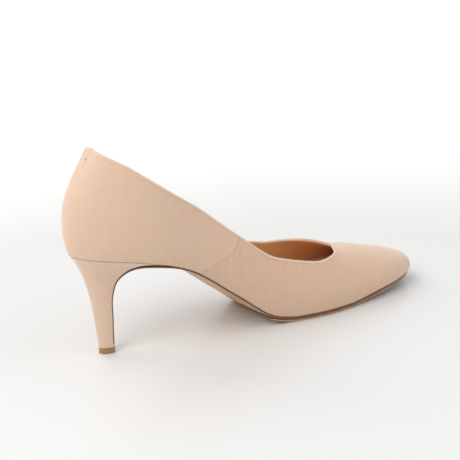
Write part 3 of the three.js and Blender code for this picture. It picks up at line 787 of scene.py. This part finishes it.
# materials
def linear(red, green, blue):
    # a colour as the eye reads it, 0 to 255, to the light that it stands for
    return tuple(c / 12.92 if c <= 0.04045 else ((c + 0.055) / 1.055) ** 2.4
                 for c in (v / 255 for v in (red, green, blue))) + (1,)


def addNode(tree, kind, values=None, **settings):
    made = tree.nodes.new("ShaderNode" + kind)
    for name, value in settings.items():
        setattr(made, name, value)
    for socket, value in (values or {}).items():
        if isinstance(value, bpy.types.NodeSocket):
            tree.links.new(value, made.inputs[socket])
        else:
            made.inputs[socket].default_value = value
    return made


def startMaterial(name, **constants):
    # a shader with its constant values on its own sockets
    material = bpy.data.materials.new(name)
    material.use_nodes = True
    tree = material.node_tree
    shader = tree.nodes["Principled BSDF"]
    for socket, value in constants.items():
        shader.inputs[socket.replace("_", " ")].default_value = value
    coords = addNode(tree, "TexCoord").outputs["Object"]
    return material, tree, shader, coords


def noise(tree, coords, size, stretch=(1, 1, 1), detail=3, rough=0.5):
    # noise whose features are about this many millimetres across, drawn out by stretch
    scale = tuple(1000 / (size * k) for k in stretch)
    placed = addNode(tree, "Mapping", {"Vector": coords, "Scale": scale}, vector_type="POINT")
    made = addNode(tree, "TexNoise", {"Vector": placed.outputs[0], "Scale": 1, "Detail": detail,
                                      "Roughness": rough})
    return made.outputs[0]


def spread(tree, value, low, high, toLow=0.0, toHigh=1.0):
    made = addNode(tree, "MapRange", {"Value": value, "From Min": low, "From Max": high, "To Min": toLow,
                                      "To Max": toHigh})
    return made.outputs[0]


def blendColours(tree, share, first, second, mode="MIX"):
    made = addNode(tree, "Mix", data_type="RGBA", blend_type=mode)
    for index, value in ((0, share), (6, first), (7, second)):
        if isinstance(value, bpy.types.NodeSocket):
            tree.links.new(value, made.inputs[index])
        else:
            made.inputs[index].default_value = value
    return made.outputs[2]


def scaled(tree, value, by):
    return addNode(tree, "Math", {0: value, 1: by}, operation="MULTIPLY").outputs[0]


def added(tree, first, second):
    return addNode(tree, "Math", {0: first, 1: second}, operation="ADD").outputs[0]


def bump(tree, shader, height, depth, strength=1.0):
    # height 0 to 1 stands for this many millimetres
    made = addNode(tree, "Bump", {"Height": height, "Distance": depth * 0.001, "Strength": strength})
    tree.links.new(made.outputs[0], shader.inputs["Normal"])


suedeSet = {
    "base": linear(212, 181, 155),
    "rosy": linear(213, 178, 153),
    "sandy": linear(210, 181, 153),
    "pale": linear(228, 203, 182),
    "deep": linear(188, 153, 126),
    "mottle": 26,
    "streak": 1.5,
    "streakLength": 9,
    "nap": 0.55,
}


def suedeMaterial(name, paintedLight=0.0, hole=None):
    material, tree, shader, coords = startMaterial(
        name, Roughness=0.92, Specular_IOR_Level=0.18, Sheen_Weight=0.55, Sheen_Roughness=0.45,
        Sheen_Tint=(1, 0.97, 0.94, 1))
    mottle = noise(tree, coords, suedeSet["mottle"], detail=2)
    patch = noise(tree, coords, 11, detail=3)
    streak = noise(tree, coords, suedeSet["streak"], (1, 1, suedeSet["streakLength"]), detail=3, rough=0.6)
    nap = noise(tree, coords, suedeSet["nap"], (1, 1, 1.6), detail=4, rough=0.65)
    fibre = noise(tree, coords, 0.16, (1, 1, 2.5), detail=2)
    colour = blendColours(tree, spread(tree, mottle, 0.35, 0.65), suedeSet["rosy"], suedeSet["sandy"])
    colour = blendColours(tree, spread(tree, patch, 0.4, 0.75, 0, 0.55), colour, suedeSet["base"])
    colour = blendColours(tree, spread(tree, streak, 0.5, 0.8, 0, 0.22), colour, suedeSet["pale"])
    colour = blendColours(tree, spread(tree, streak, 0.5, 0.22, 0, 0.16), colour, suedeSet["deep"])
    colour = blendColours(tree, spread(tree, nap, 0.42, 0.2, 0, 0.3), colour, suedeSet["deep"])
    # painted light: this share pales copies of the suede where more light falls on them, on the heel, the
    # back of the quarter and the folded topline
    colour = blendColours(tree, paintedLight, colour, suedeSet["pale"])
    if hole is not None:
        # a tack's mark: a small dark spot about the given place
        far = addNode(tree, "VectorMath", {0: coords, 1: hole}, operation="DISTANCE").outputs["Value"]
        colour = blendColours(tree, spread(tree, far, 0.0009, 0.0004, 0, 0.75), colour, linear(120, 92, 72))
    tree.links.new(colour, shader.inputs["Base Color"])
    height = added(tree, scaled(tree, nap, 0.65), scaled(tree, fibre, 0.35))
    bump(tree, shader, height, 0.09, 0.7)
    return material


def leatherMaterial(name, base, dark, rough, grain=0.7, depth=0.05, coat=0.0):
    # cells of fine grain with pores between them
    material, tree, shader, coords = startMaterial(
        name, Specular_IOR_Level=0.4, Coat_Weight=coat, Coat_Roughness=0.3)
    cloud = noise(tree, coords, 20, detail=3)
    cell = addNode(tree, "TexVoronoi", {"Vector": coords, "Scale": 1000 / grain}, feature="DISTANCE_TO_EDGE")
    pore = spread(tree, cell.outputs["Distance"], 0.0, 0.12)
    colour = blendColours(tree, spread(tree, cloud, 0.3, 0.7), base, dark)
    colour = blendColours(tree, spread(tree, pore, 1, 0, 0, 0.25), colour, dark)
    tree.links.new(colour, shader.inputs["Base Color"])
    tree.links.new(spread(tree, cloud, 0.3, 0.7, rough, rough + 0.12), shader.inputs["Roughness"])
    bump(tree, shader, added(tree, scaled(tree, pore, 0.6), scaled(tree, cloud, 0.4)), depth, 0.6)
    return material


outsoleSet = {
    "sole": linear(206, 172, 136),
    "soleWorn": linear(190, 152, 118),
    # dark edge colour: burnished edge and painted shade of the join under the upper
    "edge": linear(120, 82, 54),
}


def outsoleMaterial():
    # light sole leather with a dark edge, partly burnished edge colour and partly painted shade where the
    # sole meets the upper, laid on by the mesh's own paint attribute
    material, tree, shader, coords = startMaterial(
        "outsole_leather", Specular_IOR_Level=0.45, Coat_Weight=0.15, Coat_Roughness=0.35)
    cloud = noise(tree, coords, 18, (2.5, 1, 1), detail=4)
    grainLines = noise(tree, coords, 0.6, (6, 1, 1), detail=3)
    painted = addNode(tree, "Attribute", attribute_name="paint").outputs["Fac"]
    colour = blendColours(tree, spread(tree, cloud, 0.35, 0.7), outsoleSet["sole"], outsoleSet["soleWorn"])
    colour = blendColours(tree, spread(tree, grainLines, 0.5, 0.75, 0, 0.2), colour, outsoleSet["soleWorn"])
    colour = blendColours(tree, painted, colour, outsoleSet["edge"])
    tree.links.new(colour, shader.inputs["Base Color"])
    tree.links.new(spread(tree, cloud, 0.3, 0.7, 0.42, 0.58), shader.inputs["Roughness"])
    bump(tree, shader, grainLines, 0.03, 0.6)
    return material


def mouldedMaterial(name, base, other, rough, speckle=0.5, depth=0.02, metal=0.0):
    # moulded plastic, rubber, board or drawn metal: faint clouds and a fine matt texture
    material, tree, shader, coords = startMaterial(name, Metallic=metal)
    cloud = noise(tree, coords, 7, detail=2)
    fine = noise(tree, coords, speckle, detail=3, rough=0.6)
    colour = blendColours(tree, spread(tree, cloud, 0.3, 0.7), base, other)
    tree.links.new(colour, shader.inputs["Base Color"])
    tree.links.new(spread(tree, fine, 0.3, 0.7, rough - 0.05, rough + 0.07), shader.inputs["Roughness"])
    bump(tree, shader, fine, depth, 0.5)
    return material


def wovenMaterial(name, base, dark, thread=0.45):
    # tape: two crossed waves
    material, tree, shader, coords = startMaterial(name, Roughness=0.85)
    waves = [addNode(tree, "TexWave", {"Vector": coords, "Scale": 1000 / thread / 20, "Distortion": 0.4},
                     bands_direction=way).outputs["Fac"] for way in ("X", "Z")]
    over = addNode(tree, "Math", {0: waves[0], 1: waves[1]}, operation="MULTIPLY").outputs[0]
    tree.links.new(blendColours(tree, over, dark, base), shader.inputs["Base Color"])
    bump(tree, shader, over, 0.08)
    return material


holeSet = {"angle": 31.2, "station": 0.012}


def holePlace():
    place = wallPoint(np.array(holeSet["station"]), np.radians(holeSet["angle"]), np.array(1.0), 0.0)
    return tuple(inFrame(place))


suede = suedeMaterial("suede")
# painted light: the quarter is paled a little for the light on the back of the shoe; the tack mark is its
# own
suedeQuarterLit = suedeMaterial("suede_quarter_lit", 0.2, holePlace())
# painted light: the heel cover is paled for the light that falls on it from behind
suedeHeelLit = suedeMaterial("suede_heel_lit", 0.42)
# painted highlight: the folded topline is paled for the light caught on its rounded edge
suedeFoldLit = suedeMaterial("suede_fold_lit", 0.55)
threadLook = wovenMaterial("thread", linear(236, 214, 192), linear(205, 176, 150), 0.3)
liningLook = leatherMaterial("lining_leather", linear(226, 178, 132), linear(212, 162, 116), 0.45, coat=0.08)
sockLook = leatherMaterial("sock_leather", linear(222, 176, 130), linear(206, 158, 114), 0.45, coat=0.06)
soleLook = outsoleMaterial()
treadLook = mouldedMaterial("tread_rubber", linear(182, 148, 116), linear(166, 130, 100), 0.62, 0.5, 0.05)
tipLook = mouldedMaterial("tip_rubber", linear(172, 128, 84), linear(158, 114, 72), 0.38, 0.4, 0.02)
cadLooks = {
    "stiffener": mouldedMaterial("stiffener_sheet", linear(214, 202, 178), linear(200, 186, 160), 0.75, 0.8,
                                 0.06),
    "board": mouldedMaterial("pressed_board", linear(170, 134, 94), linear(148, 112, 76), 0.85, 0.6, 0.08),
    "foam": mouldedMaterial("soft_foam", linear(232, 224, 206), linear(220, 210, 190), 0.95, 0.5, 0.12),
    "heel_plastic": mouldedMaterial("heel_plastic", linear(228, 222, 210), linear(218, 210, 196), 0.45, 0.3,
                                    0.01),
    "steel": mouldedMaterial("drawn_steel", linear(182, 184, 188), linear(160, 162, 166), 0.32, 0.25, 0.01,
                             1.0),
}
tapeLook = wovenMaterial("cotton_tape", linear(234, 228, 216), linear(206, 198, 184))
cadNodeLooks = {
    "heel_counter": "stiffener",
    "toe_puff": "stiffener",
    "insole_board": "board",
    "insole_forepart": "board",
    "bottom_filler": "foam",
}

# which body each piece rides on, and the nodes that it stands for
pieces = [
    (quarterSuede, "rearfoot", "suede", suedeQuarterLit, "quarter"),
    (vampSuede, "both", "suede", suede, "vamp"),
    (toplineFold, "both", "suede_edge", suedeFoldLit, "topline_binding"),
    (toplineStitches, "both", "suede_edge", threadLook, None),
    (toplineTape, "both", "tape", tapeLook, "topline_tape"),
    (quarterSkin, "rearfoot", "lining", liningLook, "quarter_lining"),
    (vampSkin, "both", "lining", liningLook, "vamp_lining"),
    (sockSkin, "both", "lining", sockLook, "sock_lining"),
    (heelPad, "rearfoot", "foam", cadLooks["foam"], "heel_pad"),
    (archPad, "rearfoot", "foam", cadLooks["foam"], "arch_pad"),
    (forePad, "forefoot", "foam", cadLooks["foam"], "forepart_cushion"),
    (outsoleLeather, "both", "leather_sole", soleLook, "outsole"),
    (treadLayer, "both", "tread", treadLook, "tread_sole"),
    (heelCover, "rearfoot", "suede", suedeHeelLit, "heel_cover"),
    (heelTip, "rearfoot", "tip", tipLook, "heel_tip"),
    (heelCore, "rearfoot", "heel_plastic", cadLooks["heel_plastic"], "heel_block"),
]
for piece, body, slot, look, node in pieces:
    piece.data.materials.append(look)
    if body == "both":
        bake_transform(piece)
    else:
        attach(piece, body)
    if node:
        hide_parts(node)
for name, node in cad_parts.items():
    look = cadLooks[cadNodeLooks.get(name, "steel")]
    for holder in node.material_slots:
        holder.material = look
print("pieces placed:", len(pieces))

# floor and studio light
studio = {
    "floor": linear(229, 229, 228),
    "floorPale": linear(239, 238, 237),
    "floorMiddle": (0.02, -0.12, 0),
    "floorFar": 0.32,
    "floorFade": 0.9,
    "floorGlow": 0.5,
    "floorSize": 6,
    "world": 0.66,
    "key": {"place": (-1.2, -0.45, 1.25), "size": 1.1, "power": 14.5},
    "fill": {"place": (1.1, -0.7, 0.8), "size": 1.6, "power": 4},
    "back": {"place": (-0.3, 1.2, 1.1), "size": 1.4, "power": 10},
}


def areaLight(name, place, size, power):
    data = bpy.data.lights.new(name, "AREA")
    data.size, data.energy = size, power
    lamp = bpy.data.objects.new(name, data)
    scene.collection.objects.link(lamp)
    lamp.location = place
    lamp.rotation_euler = (Vector((0.08, 0, 0.04)) - Vector(place)).to_track_quat("-Z", "Y").to_euler()


def makeStudio():
    half = studio["floorSize"]
    mesh = bpy.data.meshes.new("floor")
    corners = [(-half, -half, 0), (half, -half, 0), (half, half, 0), (-half, half, 0)]
    mesh.from_pydata(corners, [], [(0, 1, 2, 3)])
    floor = bpy.data.objects.new("floor", mesh)
    scene.collection.objects.link(floor)
    material, tree, shader, coords = startMaterial("floor", Roughness=0.22, Specular_IOR_Level=0.35)
    cloud = noise(tree, coords, 900, detail=1)
    colour = blendColours(tree, spread(tree, cloud, 0.3, 0.7, 0, 0.3), studio["floor"], studio["floorPale"])
    tree.links.new(colour, shader.inputs["Base Color"])
    # the floor glows with distance from the shoe, as a lit sweep would, so that it ends in white
    distance = addNode(tree, "VectorMath", {0: coords, 1: studio["floorMiddle"]}, operation="DISTANCE")
    away = distance.outputs["Value"]
    shader.inputs["Emission Color"].default_value = (1, 1, 1, 1)
    tree.links.new(spread(tree, away, studio["floorFar"], studio["floorFade"], 0, studio["floorGlow"]),
                   shader.inputs["Emission Strength"])
    mesh.materials.append(material)
    for name in ("key", "fill", "back"):
        areaLight(name, **studio[name])
    world = bpy.data.worlds.new("studio")
    world.use_nodes = True
    world.node_tree.nodes["Background"].inputs["Color"].default_value = (1, 1, 1, 1)
    world.node_tree.nodes["Background"].inputs["Strength"].default_value = studio["world"]
    scene.world = world
    scene.view_settings.view_transform = "Standard"


makeStudio()
print("studio lit")
